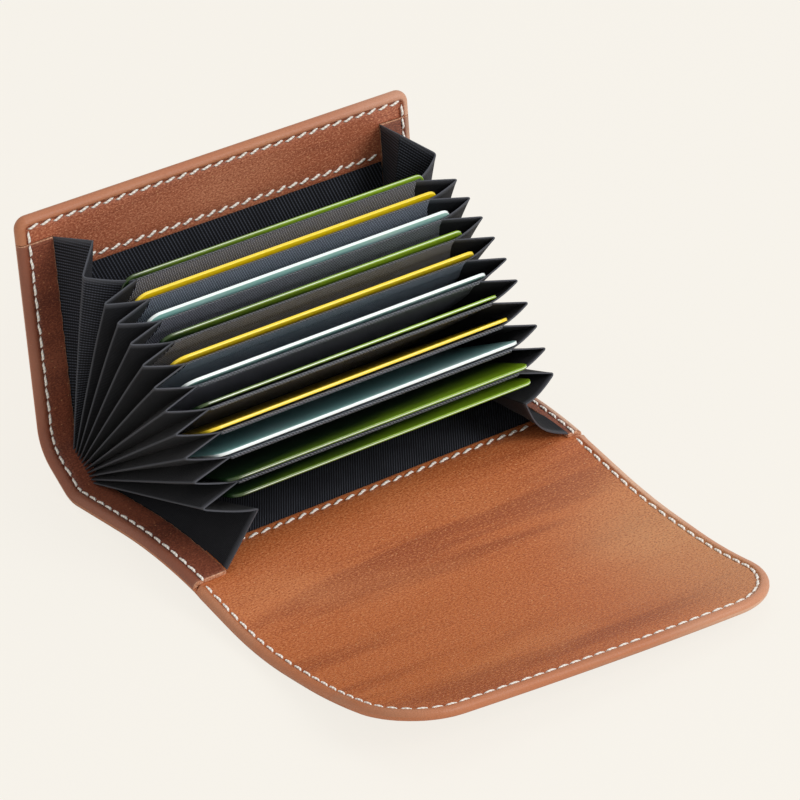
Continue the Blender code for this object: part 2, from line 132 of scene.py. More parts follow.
BACK_TURN = BACK_DIRECTION - SPINE_DIRECTION
FRONT_TURN = SPINE_DIRECTION + 180 - FRONT_DIRECTION
BACK_TANGENT = BACK_BEND * np.tan(np.radians(BACK_TURN / 2))
FRONT_TANGENT = FRONT_BEND * np.tan(np.radians(FRONT_TURN / 2))
BACK_CREASE = FRONT_CREASE + SPINE_LENGTH * along(SPINE_DIRECTION)
COVER_RUNS = (
    (BACK_LENGTH - BACK_TANGENT, 0),
    (BACK_BEND * np.radians(BACK_TURN), -BACK_TURN),
    (SPINE_LENGTH - BACK_TANGENT - FRONT_TANGENT, 0),
    (FRONT_BEND * np.radians(FRONT_TURN), -FRONT_TURN),
    (22.0 - FRONT_TANGENT, 0),
    (36.0, FLAP_DROP + 8.5),
    (12.5, 0),
    (20.0, -FLAP_DROP),
    (8.0, 0),
    (18.5, -10.0),
    (18.0, 0),
)
COVER = (BACK_CREASE + BACK_LENGTH * along(BACK_DIRECTION), BACK_DIRECTION + 180, COVER_RUNS)
BACK_FOLD = COVER_RUNS[0][0] + COVER_RUNS[1][0] / 2
FRONT_START = sum(run[0] for run in COVER_RUNS[:4]) - FRONT_TANGENT
FRONT_FOLD = FRONT_START - COVER_RUNS[3][0] / 2 + FRONT_TANGENT
COVER_END = FRONT_START + 135.0
PIVOT = follow((FRONT_CREASE, FRONT_DIRECTION, ((1.0, 0),)), STACK * FRONT_MITER, STACK)


def on_cover(x, distance, level):
    """Points on the cover: across is x, and distance runs from the back's top edge down, round the spine
    and out to the flap's tip. The flap's left side lifts off a little, as an unpressed cover does."""
    x, distance, level = np.broadcast_arrays(x, distance, level)
    spots = follow(COVER, distance, level)
    out = distance - FRONT_START
    lift = FLAP_TWIST * ease(66, 138, out) * np.clip((HALF - x) / (2 * HALF), 0, 1) ** 1.5
    return np.stack([x, spots[..., 0], spots[..., 1] + lift], axis=-1)


def foot_at(number):
    """Where a divider's foot stands, (y, z): even steps along the spine from the front crease."""
    return PIVOT + ((11 - number) * 1.26 - 0.5) * along(SPINE_DIRECTION) - 0.2 * along(SPINE_DIRECTION + 90)


def divider_direction(number):
    """The angle at which a divider stands; 0 is the back and 11 the front."""
    if number == 0:
        return BACK_DIRECTION
    if number == 11:
        return FRONT_DIRECTION
    return 109.4 + (number - 1) * (155.2 - 109.4) / 9


def on_divider(number, x, height, level, direction=None):
    """Points on the plane of a divider: height from its foot, level towards its rear."""
    x, height, level = np.broadcast_arrays(x, height, level)
    direction = divider_direction(number) if direction is None else direction
    spots = follow((foot_at(min(number, 10)), direction, ((1.0, 0),)), height, level)
    return np.stack([x, spots[..., 0], spots[..., 1]], axis=-1)


def spread(low, high, step, exact=()):
    """Even steps from low to high, with the exact places put in and the even steps next to them left out."""
    places = np.linspace(low, high, int(np.ceil((high - low) / step)) + 1)
    kept = np.array([place for place in exact if low < place < high] + [low, high])
    far = np.min(np.abs(places[:, None] - kept[None]), axis=1) > step * 0.4
    return np.unique(np.concatenate([places[far], kept]))


def shell(name, upper, lower, finish, flat, **marks):
    """A closed body between two grids of points, walled round their border; where the two grids touch they
    are merged. flat holds the surface's own coordinates in millimetres. Marks are shares from 0 to 1, the
    same on both faces or a pair for the upper and the lower one."""
    rows, columns = upper.shape[:2]
    count = rows * columns
    index = np.arange(count).reshape(rows, columns)
    quads = np.stack([index[:-1, :-1], index[:-1, 1:], index[1:, 1:], index[1:, :-1]], -1).reshape(-1, 4)
    border = np.concatenate([index[0, :-1], index[:-1, -1], index[-1, :0:-1], index[:0:-1, 0]])
    following = np.roll(border, -1)
    walls = np.stack([border, following, following + count, border + count], -1)
    faces = np.concatenate([quads[:, ::-1], quads + count, walls])
    points = np.concatenate([upper.reshape(-1, 3), lower.reshape(-1, 3)])
    doubled = {}
    for key, mark in marks.items():
        pair = mark if isinstance(mark, tuple) else (mark, mark)
        doubled[key] = np.concatenate([np.broadcast_to(side, (rows, columns)).ravel() for side in pair])
    both = np.concatenate([flat.reshape(-1, 2)] * 2)
    return finish_piece(name, points, faces.tolist(), finish, both, doubled)


def tube_faces(rows, sides):
    """Faces of a tube of rings of points: quads all along it, and a cap for each end."""
    index = np.arange(rows * sides).reshape(rows, sides)
    beside = np.roll(index, -1, axis=1)
    quads = np.stack([index[:-1], beside[:-1], beside[1:], index[1:]], -1).reshape(-1, 4)
    return quads, np.concatenate([index[:1, ::-1], index[-1:]])


def link(name, data):
    """Puts a new object with this data into the scene."""
    item = bpy.data.objects.new(name, data)
    bpy.context.scene.collection.objects.link(item)
    return item


def finish_piece(name, points, faces, finish, flat, marks=None, tubes=False):
    """Puts points, in millimetres, and faces into a mesh with its flat coordinates and marks, smooth but for
    sharp edges. Tubes keep all their points and are smooth all over."""
    mesh = bpy.data.meshes.new(name)
    mesh.from_pydata((points * 0.001).tolist(), [], faces)
    for key, values in (marks or {}).items():
        mark = mesh.attributes.new(key, "FLOAT", "POINT")
        mark.data.foreach_set("value", np.ascontiguousarray(values, dtype=np.float32))
    corners = np.empty(len(mesh.loops), dtype=np.int32)
    mesh.loops.foreach_get("vertex_index", corners)
    layer = mesh.uv_layers.new(name="flat")
    layer.data.foreach_set("uv", np.ascontiguousarray(flat[corners], dtype=np.float32).ravel())
    work = bmesh.new()
    work.from_mesh(mesh)
    if not tubes:
        bmesh.ops.remove_doubles(work, verts=work.verts, dist=1e-7)
    bmesh.ops.recalc_face_normals(work, faces=work.faces)
    work.to_mesh(mesh)
    work.free()
    mesh.polygons.foreach_set("use_smooth", np.ones(len(mesh.polygons), dtype=bool))
    if not tubes:
        mesh.set_sharp_from_angle(angle=np.radians(38))
    mesh.materials.append(finish.material)
    return link(name, mesh)


def settle(piece, slot, body, *nodes):
    """Hides the nodes that a piece takes the place of and joins it to the body that it rides. The slot is not
    used.
    """
    if nodes:
        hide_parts(*nodes)
    if body:
        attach(piece, body)


def paint(red, green, blue):
    """A colour as the eye reads it, 0 to 255, turned into the shader's own scale."""
    shares = (np.array([red, green, blue]) / 255 + 0.055) / 1.055
    return tuple(shares ** 2.4) + (1.0,)


class Finish:
    """A material put together node by node. Its flat coordinates are the piece's own, in millimetres."""

    def __init__(self, name, roughness, **even):
        self.material = bpy.data.materials.new(name)
        self.material.use_nodes = True
        self.tree = self.material.node_tree
        self.shader = self.tree.nodes["Principled BSDF"]
        self.shader.inputs["Roughness"].default_value = roughness
        for key, value in even.items():
            self.shader.inputs[key.replace("_", " ").title().replace("Ior", "IOR")].default_value = value
        self.flat = self.add("ShaderNodeUVMap", {"uv_map": "flat"}).outputs[0]
        self.place = self.add("ShaderNodeTexCoord").outputs["Object"]

    def add(self, kind, settings=None, inputs=None):
        node = self.tree.nodes.new(kind)
        for key, value in (settings or {}).items():
            setattr(node, key, value)
        for key, value in (inputs or {}).items():
            if isinstance(value, bpy.types.NodeSocket):
                self.tree.links.new(value, node.inputs[key])
            else:
                node.inputs[key].default_value = value
        return node

    def mark(self, name):
        return self.add("ShaderNodeAttribute", {"attribute_name": name}).outputs["Fac"]

    def stretch(self, source, scale, turn=0.0):
        inputs = {"Vector": source, "Scale": scale, "Rotation": (0, 0, np.radians(turn))}
        return self.add("ShaderNodeMapping", {}, inputs).outputs[0]

    def noise(self, source, scale, detail=3.0, roughness=0.55, distortion=0.0):
        inputs = {"Vector": source, "Scale": scale, "Detail": detail, "Roughness": roughness}
        inputs["Distortion"] = distortion
        return self.add("ShaderNodeTexNoise", {}, inputs).outputs[0]

    def cells(self, source, scale):
        return self.add("ShaderNodeTexVoronoi", {}, {"Vector": source, "Scale": scale}).outputs[0]

    def maths(self, operation, first, second=0.0):
        return self.add("ShaderNodeMath", {"operation": operation}, {0: first, 1: second}).outputs[0]

    def times(self, first, second):
        return self.maths("MULTIPLY", first, second)

    def plus(self, first, second):
        return self.maths("ADD", first, second)

    def wave(self, run, length):
        """A sine along a run, one round for each length."""
        return self.maths("SINE", self.times(run, 2 * np.pi / length))

    def between(self, value, low, high, start=0.0, end=1.0):
        inputs = {"Value": value, "From Min": low, "From Max": high, "To Min": start, "To Max": end}
        settings = {"interpolation_type": "SMOOTHSTEP"}
        return self.add("ShaderNodeMapRange", settings, inputs).outputs[0]

    def mix(self, share, first, second):
        return self.add("ShaderNodeMix", {"data_type": "RGBA"}, {0: share, 6: first, 7: second}).outputs[2]

    def layers(self, colour, *rows):
        """Lays shades over a colour; each row is a source, its range, the shares at both ends and a shade."""
        for source, low, high, start, end, shade in rows:
            colour = self.mix(self.between(source, low, high, start, end), colour, shade)
        return colour

    def split(self, source):
        return self.add("ShaderNodeSeparateXYZ", {}, {0: source}).outputs

    def set(self, key, source):
        self.tree.links.new(source, self.shader.inputs[key])

    def bump(self, height, depth, under=None):
        inputs = {"Height": height, "Distance": depth * 0.001, "Strength": 1.0}
        if under is not None:
            inputs["Normal"] = under
        return self.add("ShaderNodeBump", {}, inputs).outputs[0]


def leather_finish(name, base, dark, light, rim, streaks=1.0):
    """Smooth cognac leather: long dark streaks across the width, painted shade that stands in for gentle
    waves in the leather; a fine grain of short light and dark strokes with pale specks, a rim polished by
    burnishing, dark grooves at the seams and pale raw fibre where it is cut. Light from the right is painted
    in as well: the flap's inner face grows lighter towards the right, and the rim takes a pale painted
    highlight there."""
    base, dark, light, rim = [paint(*shade) for shade in (base, dark, light, rim)]
    leather = Finish(name, 0.42, specular_ior_level=0.42)
    across, down, _ = leather.split(leather.flat)
    wide = leather.noise(leather.stretch(leather.flat, (0.010, 0.085, 1), 5), 1.0, 4.0, 0.6, 0.5)
    cloud = leather.noise(leather.stretch(leather.flat, (0.016, 0.035, 1), 5), 1.0, 3.0, 0.5, 0.3)
    grain = leather.noise(leather.stretch(leather.flat, (1.5, 2.6, 1), 12), 1.0, 3.0, 0.75)
    pebbles = leather.cells(leather.flat, 1.9)
    creases = leather.noise(leather.stretch(leather.flat, (0.14, 1.5, 1), 4), 1.0, 5.0, 0.7, 0.5)
    specks = leather.cells(leather.stretch(leather.flat, (0.42, 0.62, 1)), 1.0)
    # Painted shade: the long dark streaks across the width stand in for the shade of gentle waves in the
    # leather.
    colour = leather.layers(base, (wide, 0.46, 0.66, 0.0, 0.9, dark), (cloud, 0.48, 0.75, 0.0, 0.5, light))
    # Painted light: a share that grows towards the right, the side that the light falls from.
    lit_right_share = leather.between(leather.plus(across, leather.times(cloud, 40.0)), 30.0, 82.0)
    lid = leather.times(leather.between(down, 430.0, 475.0), leather.between(down, 600, 599))
    # Painted light: the flap's inner face is painted lighter towards the right.
    colour = leather.mix(leather.times(lit_right_share, lid), colour, paint(206, 150, 104))
    colour = leather.layers(
        colour,
        (creases, 0.52, 0.70, 0.0, 0.30 * streaks, light),
        (creases, 0.30, 0.48, 0.28 * streaks, 0.0, dark),
        (grain, 0.36, 0.52, 0.75, 0.0, dark),
        (grain, 0.50, 0.66, 0.0, 0.85, light),
        (specks, 0.04, 0.13, 0.55, 0.0, paint(232, 176, 126)),
    )
    colour = leather.mix(leather.times(leather.mark("seam"), 0.34), colour, paint(104, 50, 30))
    # The rim's own paler tone, with a painted highlight that grows towards the right, then a mottle.
    rim_and_highlight = leather.mix(leather.times(lit_right_share, 0.85), rim, paint(230, 190, 162))
    rim_and_highlight = leather.layers(rim_and_highlight, (cloud, 0.40, 0.62, 0.45, 0.0, base))
    colour = leather.mix(leather.mark("rim"), colour, rim_and_highlight)
    fibre = leather.noise(leather.place, 1500.0, 4.0, 0.8)
    raw = leather.mix(leather.between(fibre, 0.35, 0.65), paint(232, 184, 150), paint(168, 104, 70))
    leather.set("Base Color", leather.mix(leather.mark("cut"), colour, raw))
    leather.set("Roughness", leather.between(grain, 0.3, 0.7, 0.38, 0.52))
    soft = leather.bump(creases, 0.10 * streaks)
    soft = leather.bump(pebbles, 0.05, soft)
    leather.set("Normal", leather.bump(grain, 0.06, soft))
    return leather


def cloth_finish(name, ribs, turn, strength, base=(15, 16, 21), light=(82, 86, 98)):
    """Black cloth with a raised rib: the rib is a wave across the flat coordinates, turned by an angle, and
    folds and hems carry a painted highlight in a lighter grey."""
    cloth = Finish(name, 0.82, specular_ior_level=0.22, sheen_weight=0.04, sheen_roughness=0.4)
    turned = cloth.split(cloth.stretch(cloth.flat, (1, 1, 1), turn))
    fuzz = cloth.noise(cloth.flat, 3.2, 4.0, 0.75)
    cloud = cloth.noise(cloth.flat, 0.12, 2.0, 0.5)
    yarn = cloth.plus(cloth.times(cloth.wave(turned[1], ribs), 0.8),
                      cloth.times(cloth.wave(turned[0], ribs * 0.8), 0.2))
    colour = cloth.layers(
        paint(*base),
        (yarn, 0.1, 1.0, 0.0, strength, paint(*light)),
        (fuzz, 0.5, 0.75, 0.0, 0.22, paint(*light)),
        (cloud, 0.4, 0.7, 0.0, 0.25, paint(12, 13, 17)),
    )
    # Painted highlight: lighter grey where the fold mark picks out folds and hems.
    cloth.set("Base Color", cloth.mix(cloth.times(cloth.mark("fold"), 0.85), colour, paint(84, 86, 93)))
    height = cloth.plus(cloth.times(yarn, 0.5), cloth.times(fuzz, 0.5))
    cloth.set("Normal", cloth.bump(height, 0.08 * min(1.0, strength + 0.3)))
    return cloth


def woven_finish(name):
    """The dividers' weave: light pin dots on navy, two crossed waves kept where both stand high."""
    cloth = Finish(name, 0.84, specular_ior_level=0.25, sheen_weight=0.04, sheen_roughness=0.4)
    turned = cloth.split(cloth.stretch(cloth.flat, (1, 1, 1), 45))
    dots = cloth.times(cloth.wave(turned[0], 0.72), cloth.wave(turned[1], 0.72))
    fuzz = cloth.noise(cloth.flat, 2.0, 3.0, 0.7)
    colour = cloth.layers(
        paint(30, 32, 50),
        (dots, -0.1, 0.7, 0.0, 1.0, paint(208, 212, 232)),
        (fuzz, 0.45, 0.7, 0.0, 0.35, paint(30, 32, 44)),
    )
    # Painted highlight: lighter grey along the top hem and the hem's fold line.
    cloth.set("Base Color", cloth.mix(cloth.times(cloth.mark("fold"), 0.6), colour, paint(78, 80, 90)))
    cloth.set("Normal", cloth.bump(dots, 0.06))
    return cloth


def corded_finish(name):
    """The dividers' top edge: a fine cord of pale and dark yarn that winds round it."""
    cord = Finish(name, 0.8, specular_ior_level=0.25, sheen_weight=0.2)
    around = cord.split(cord.flat)
    wave = cord.wave(cord.plus(around[0], cord.times(around[1], 0.5)), 0.9)
    cord.set("Base Color", cord.mix(cord.between(wave, -0.5, 0.7), paint(26, 28, 34), paint(150, 153, 164)))
    cord.set("Normal", cord.bump(wave, 0.08))
    return cord


def card_finish(name, low, high, edge, sheen, thin=(-2.0, -1.0, 3.0, 2.0)):
    """Printed plastic: the colour runs from low at the left foot to high at the right top, with a clear
    gloss, a faint painted sheen in pale patches and a pale core that shows along the cut edge, over part of
    its thickness where thin."""
    low, high, edge = [paint(*shade) for shade in (low, high, edge)]
    card = Finish(name, 0.34, specular_ior_level=0.5, coat_weight=0.35, coat_roughness=0.12)
    spot = card.split(card.flat)
    across = card.times(spot[0], 0.0085)
    up = card.times(card.maths("SUBTRACT", spot[1], 44.0), 0.045)
    tone_and_sheen = card.noise(card.flat, 0.06, 3.0, 0.5)
    fine = card.noise(card.flat, 1.4, 3.0, 0.6)
    run = card.plus(card.plus(across, up), card.times(tone_and_sheen, 0.35))
    colour = card.layers(
        low,
        (run, 0.1, 0.85, 0.0, 1.0, high),
        # Painted sheen: pale patches of the edge colour, by the sheen share.
        (tone_and_sheen, 0.45, 0.7, 0.0, sheen, edge),
        (fine, 0.45, 0.7, 0.0, 0.10, low),
    )
    core = card.mark("core")
    pale = card.times(card.between(core, *thin[:2]), card.between(core, *thin[2:]))
    card.set("Base Color", card.mix(card.times(card.mark("edge"), pale), colour, edge))
    card.set("Normal", card.bump(fine, 0.01))
    return card


def thread_finish():
    """Waxed cream thread: plies wind round it as slanted waves, with painted shade in the hollows between
    them.
    """
    thread = Finish("cream_thread", 0.6, specular_ior_level=0.35, sheen_weight=0.2)
    around = thread.split(thread.flat)
    wave = thread.wave(thread.plus(around[0], around[1]), 1)
    shades = paint(232, 222, 206), paint(255, 252, 246)
    # Painted shade: the cream darkens where the plies' wave runs low.
    thread.set("Base Color", thread.mix(thread.between(wave, -1, 0.2), *shades))
    thread.set("Normal", thread.bump(wave, 0.06))
    return thread


TAN = leather_finish("cover_leather", (192, 106, 57), (150, 73, 37), (216, 140, 90), (182, 124, 92))
STRAP = leather_finish("binding_leather", (128, 68, 48), (88, 44, 34), (162, 96, 70), (150, 92, 68), 0.6)
BAND = leather_finish("band_leather", (172, 96, 66), (136, 70, 48), (216, 146, 110), (186, 124, 88), 0.4)
RIBBED = cloth_finish("ribbed_lining", 0.82, 113, 1.0)
SIDE_CLOTH = cloth_finish("side_cloth", 0.8, 6, 0.9)
PLEAT_CLOTH = cloth_finish("pleat_cloth", 0.5, 30, 0.2, (18, 19, 24), (66, 69, 76))
TWILL = cloth_finish("front_twill", 0.56, 55, 0.75, (20, 21, 26), (92, 96, 108))
WOVEN = woven_finish("woven_dividers")
CORDED = corded_finish("corded_hem")
THREAD = thread_finish()
CARD_FINISHES = {
    "green": card_finish("green_card", (20, 46, 18), (136, 174, 28), (236, 244, 226), 0.0,
                         (0.16, 0.26, 0.62, 0.52)),
    "yellow": card_finish("yellow_card", (255, 212, 0), (255, 220, 0), (255, 224, 60), 0.1),
    "teal": card_finish("teal_card", (160, 222, 216), (186, 236, 232), (244, 254, 254), 0.25),
}
BOARD = Finish("grey_board", 0.9)
BOARD.set("Base Color", BOARD.mix(BOARD.noise(BOARD.flat, 0.9), paint(150, 140, 124), paint(112, 104, 92)))
STEEL = Finish("magnet_steel", 0.3, metallic=1.0)
STEEL.set("Base Color", STEEL.mix(STEEL.noise(STEEL.flat, 2.5), paint(186, 188, 192), paint(150, 152, 156)))

INSETS = np.array([0, 0.05, 0.16, 0.35, 0.6, 0.95, 1.35, 1.7, 2.0, 2.25, 2.45, 2.6, 2.75, 3.0, 3.4, 4.2, 5.5])


def outline_half(distance):
    """Half the cover's width at a distance: full, and less by a quarter circle at each end's corners."""
    start = np.minimum(distance, BACK_CORNER)
    end = np.minimum(COVER_END - distance, FLAP_CORNER)
    narrow = BACK_CORNER - np.sqrt(np.maximum(BACK_CORNER**2 - (BACK_CORNER - start) ** 2, 0))
    tip = FLAP_CORNER - np.sqrt(np.maximum(FLAP_CORNER**2 - (FLAP_CORNER - end) ** 2, 0))
    return HALF - narrow - tip


def rounded_edge(side, ends):
    """How far a spot is from the outline of a rectangle with rounded corners. side is its distance from the
    nearer side; each end is a corner's radius and the distance from that end."""
    result = np.minimum(side, np.minimum.reduce([end for _, end in ends]))
    for corner, end in ends:
        round_corner = corner - np.hypot(corner - side, corner - end)
        result = np.where((side < corner) & (end < corner), round_corner, result)
    return np.maximum(result, 0)


def edge_distance(x, distance):
    """How far a spot is from the cover's outline."""
    return rounded_edge(HALF - np.abs(x), [(BACK_CORNER, distance), (FLAP_CORNER, COVER_END - distance)])


def rim_thickness(distance):
    """How thick the rolled rim is: the whole stack under the strips, two leathers on the flap."""
    return STACK + (RIM - STACK) * ease(*THINNING, distance - FRONT_START)


def rolled(edge, thickness):
    """Height above or below the rim's middle: a half circle across the rim, level inside it."""
    radius = thickness / 2
    return radius * quarter(edge / radius)


def layer_split(edge, thickness, inner):
    """Level at which the outer layer ends and the next begins: the rim's middle, and inner further in."""
    return inner + (thickness / 2 - inner) * (1 - ease(1.0, 1.6, edge))


def groove(edge, depth):
    """The hollow that a tight seam presses into leather."""
    return -depth * peak(edge - SEAM_INSET, 0.42)


def crowded(insets, count, gap):
    """Columns that crowd together at both sides: the side of each from -1 to 1, and its inset there."""
    middle = np.linspace(-1, 1, count)[1:-1]
    sides = np.concatenate([-np.ones(len(insets)), middle, np.ones(len(insets))])
    return sides, np.concatenate([insets, np.full(len(middle), gap), insets[::-1]])


def panel_grid(start, end, half, step=1.5, exact=()):
    """Rows from start to end and columns from side to side that crowd together at the rim."""
    rows = spread(start, end, step, list(INSETS) + list(COVER_END - INSETS) + list(exact))
    sides, insets = crowded(INSETS, 59, INSETS[-1] + 1.2)
    x = sides[None] * (half(rows)[:, None] - insets[None])
    return x, np.broadcast_to(rows[:, None], x.shape)


def cover_shell(name, x, distance, upper, lower, finish, shift=0, **marks):
    """A closed body on the cover between two levels; shift sets its pattern off from its neighbours'."""
    flat = np.stack([x, distance + shift], -1)
    return shell(name, on_cover(x, distance, upper), on_cover(x, distance, lower), finish, flat, **marks)


def leather_marks(edge, rim_depth=1.9):
    """Shares of rim and seam colour, by the distance from the edge."""
    return 0.9 * (1 - ease(rim_depth - 0.35, rim_depth + 0.05, edge)), peak(edge - SEAM_INSET + 0.3, 0.5)


def outer_leather(name, start, end):
    """The outer leather over one stretch: level 0 outside, rolled up at the rim to its middle."""
    x, distance = panel_grid(start, end, outline_half)
    edge = edge_distance(x, distance)
    thickness = rim_thickness(distance)
    lower = thickness / 2 - rolled(edge, thickness) - groove(edge, 0.16)
    upper = np.maximum(layer_split(edge, thickness, 1.2), lower)
    rim, seam = leather_marks(edge)
    return cover_shell(name, x, distance, upper, lower, TAN, rim=rim, seam=(0, seam))


def strip_inner(x, distance):
    """Where a strip's inner edge lies, from the middle: even, but on the right it runs out to the front."""
    out = distance - FRONT_START
    return STRIP_INNER + np.where(x > 0, 3.2 * ease(2, 30, out) + 1.7 * ease(20, 60, out), 0)


def facing_half(distance):
    """Half width of the inner leather: tucked in under the strips and out to the rim on the flap."""
    return outline_half(distance) - 1.7 * (1 - ease(53.5, 55.0, distance - FRONT_START))


def facing_top(x, distance, edge):
    """Level of the inner leather's face: it steps up over the lining's end and sinks to the flap's level."""
    out = distance - FRONT_START
    raised = 0.95 * quarter((out - FRONT_LINING_LENGTH) / 0.4) * (1 - ease(46.5, 60, out))
    beside = ease(-1.6, -0.4, np.abs(x) - strip_inner(x, distance)) * (1 - ease(53.4, 54.6, out))
    seam = -0.28 * peak(out - FRONT_LINING_LENGTH - ROW_INSET, 0.45)
    crown = (RIM - 2.3) * (1 - ease(1.7, 2.4, edge)) * ease(*THINNING, out)
    pressed = groove(edge, 0.24) * ease(*THINNING, out)
    return 2.3 + (raised + seam) * (1 - beside) + crown + pressed


def inner_leather(name, start, end):
    """The inner leather over one stretch, from the spine to the flap's tip."""
    steps = np.array([-0.05, 0.0, 0.03, 0.1, 0.2, 0.4, 1.0, 1.5, 1.9, 2.3, 3])
    x, distance = panel_grid(start, end, facing_half, 1.5, FRONT_START + FRONT_LINING_LENGTH + steps)
    edge = edge_distance(x, distance)
    thickness = rim_thickness(distance)
    split = layer_split(edge, thickness, 1.2)
    upper = np.minimum(thickness / 2 + rolled(edge, thickness), facing_top(x, distance, edge))
    upper = np.maximum(upper, split)
    out = distance - FRONT_START
    cut = (1 - ease(0.05, 0.45, np.abs(out - FRONT_LINING_LENGTH - 0.1))) * 0.35
    rim, seam = leather_marks(edge)
    seam = np.maximum(seam, peak(out - FRONT_LINING_LENGTH - ROW_INSET, 0.5))
    return cover_shell(name, x, distance, upper, split, TAN, 300, rim=rim, seam=(seam, 0), cut=(cut, 0))


def flat_plate(name, finish, half, low, high, under, over, step=2.0, beside_strips=False):
    """A thin level plate on the cover, half wide to each side and from low to high. Beside the strips it is
    as wide as the gap between them."""
    rows = spread(low, high, step, (low + 0.4, high - 0.4))
    columns = spread(-half, half, step, (-half + 0.4, half - 0.4))
    x, distance = np.meshgrid(columns, rows)
    if beside_strips:
        x = x * (strip_inner(x, distance) - 0.1) / (STRIP_INNER - 0.1)
    return cover_shell(name, x, distance, over, under, finish)


def top_band():
    """The band inside the back's top: between the strips, full width above them, with a rolled rim."""
    shoulder = BACK_LENGTH - STRIP_BACK_LENGTH - 0.25

    def half(distance):
        return np.where(distance > shoulder, LINING_HALF, outline_half(distance))

    exact = [shoulder, shoulder + 0.01] + list(BAND_HEIGHT - np.array([0, 0.05, 0.15, 0.35, 1.5, 1.9, 2.3]))
    x, distance = panel_grid(0, BAND_HEIGHT, half, 1.2, exact)
    edge = edge_distance(x, distance)
    low_edge = BAND_HEIGHT - distance
    seams = groove(edge, 0.25) + groove(low_edge + 0.7, 0.25) * (low_edge < 6)
    face = 2.95 + 0.45 * (1 - ease(1.7, 2.5, edge)) + seams
    face = face - 0.3 * (1 - quarter(low_edge / 0.35))
    upper = np.minimum(STACK / 2 + rolled(edge, STACK), face)
    lower = np.minimum(layer_split(edge, STACK, 2.4), upper)
    rim, seam = leather_marks(edge, 2.0)
    cut = 0.5 * (1 - ease(0.03, 0.25, low_edge))
    seam = np.maximum(seam, peak(low_edge - ROW_INSET, 0.5))
    return cover_shell("back_top_band", x, distance, upper, lower, BAND, 600, rim=rim, seam=(seam, 0),
                       cut=(cut, 0))


def strip(name, side, start, end, cut_end):
    """A binding strip along one side of the cover: rolled at the rim, cut raw at its inner edge and ends."""
    rows = spread(start, end, 1.0, (start + 0.08, start + 0.3, end - 0.3, end - 0.08))
    insets = np.concatenate([INSETS, [6.5, 7.5, 8.4, 8.75, 8.93, 9.0]])
    wobble = 0.10 * np.sin(rows * 1.9) * np.sin(rows * 0.37 + side) + 0.05 * np.sin(rows * 5.3)
    width = HALF - strip_inner(side, rows)[:, None]
    reach = insets[None] + wobble[:, None] * ease(6, 9, insets)[None]
    reach = reach - (9 - width) * np.clip((insets[None] - 3.0) / 6, 0, 1)
    x = side * (HALF - reach)
    distance = np.broadcast_to(rows[:, None], x.shape)
    edge = edge_distance(x, distance)
    ends = np.abs(distance - cut_end)
    inner_gap = 9.0 - insets[None]
    soften = 0.18 * (1 - quarter(inner_gap / 0.25))
    sag = 0.15 * (1 - quarter(ends / 0.3))
    face = STACK + groove(edge, 0.26) - soften - sag
    upper = np.minimum(STACK / 2 + rolled(edge, STACK), face)
    lower = np.minimum(layer_split(edge, STACK, 2.4), upper)
    raw = np.maximum(1 - ease(0.02, 0.3, inner_gap), 1 - ease(0.02, 0.35, ends))
    raw_low = np.maximum(1 - ease(0.0, 0.1, inner_gap), 1 - ease(0.0, 0.1, ends))
    rim, seam = leather_marks(edge)
    return cover_shell(name, x, distance, upper, lower, STRAP, 900, rim=(rim * (1 - raw), rim),
                       seam=(seam, 0), cut=(raw, raw_low))


def seam_stitches(name, line, level, slant, outside=False):
    """Stitches along a line of flat (x, distance) spots: each is a long bead, fuller towards its end, turned
    a little off the line and slightly S-shaped, highest in its middle and pulled into the leather at both
    ends."""
    gaps = np.hypot(*np.diff(line, axis=0).T)
    run = np.concatenate([[0], np.cumsum(gaps)])
    count = int(run[-1] // PITCH)
    centres = (np.arange(count) + 0.5) * run[-1] / count

    def spots(places):
        return np.stack([np.interp(places, run, line[:, axis]) for axis in (0, 1)], -1)

    middle = spots(centres)
    angle = np.arctan2(*(spots(centres + 0.4) - spots(centres - 0.4)).T[::-1]) + np.radians(slant)
    wander = 0.12 * np.sin(np.arange(count) * 2.4) + 0.08 * np.sin(np.arange(count) * 5.1)
    angle = angle + wander * 0.5
    ahead, aside = np.cos(angle)[:, None, None], np.sin(angle)[:, None, None]
    x, distance = middle[:, 0, None, None], middle[:, 1, None, None]
    steps = np.linspace(0, 1, 7)[:, None]
    turns = np.linspace(0, 2 * np.pi, 9)[:-1][None]
    bulge = np.sqrt(np.clip(1 - (2 * steps - 1) ** 4, 0.02, 1)) * (0.82 + 0.3 * steps)
    lengthwise = (steps - 0.5) * STITCH_LENGTH + 0 * turns
    sideways = bulge * np.cos(turns) * STITCH_WIDTH / 2 + 0.12 * np.sin(2 * np.pi * steps)
    raised = bulge * np.sin(turns) * STITCH_WIDTH * 0.42 + 0.24 * (1 - (2 * steps - 1) ** 2)
    base = level(middle[:, 0], middle[:, 1])[:, None, None]
    points = on_cover(x + ahead * lengthwise - aside * sideways,
                      distance + aside * lengthwise + ahead * sideways,
                      base - raised if outside else base + raised)
    quads, caps = tube_faces(7, 8)
    first = (np.arange(count) * 56)[:, None, None]
    faces = (quads + first).reshape(-1, 4).tolist() + (caps + first).reshape(-1, 8).tolist()
    flat = np.stack(np.broadcast_arrays(lengthwise, turns / (2 * np.pi)), -1).reshape(-1, 2)
    return finish_piece(name, points.reshape(-1, 3), faces, THREAD, np.tile(flat, (count, 1)), tubes=True)


def at(distance, level=1.2):
    """A point of the cover's middle line in metres."""
    spot = follow(COVER, np.array([distance]), np.array([level]))[0] * 0.001
    return (0.0, float(spot[0]), float(spot[1]))


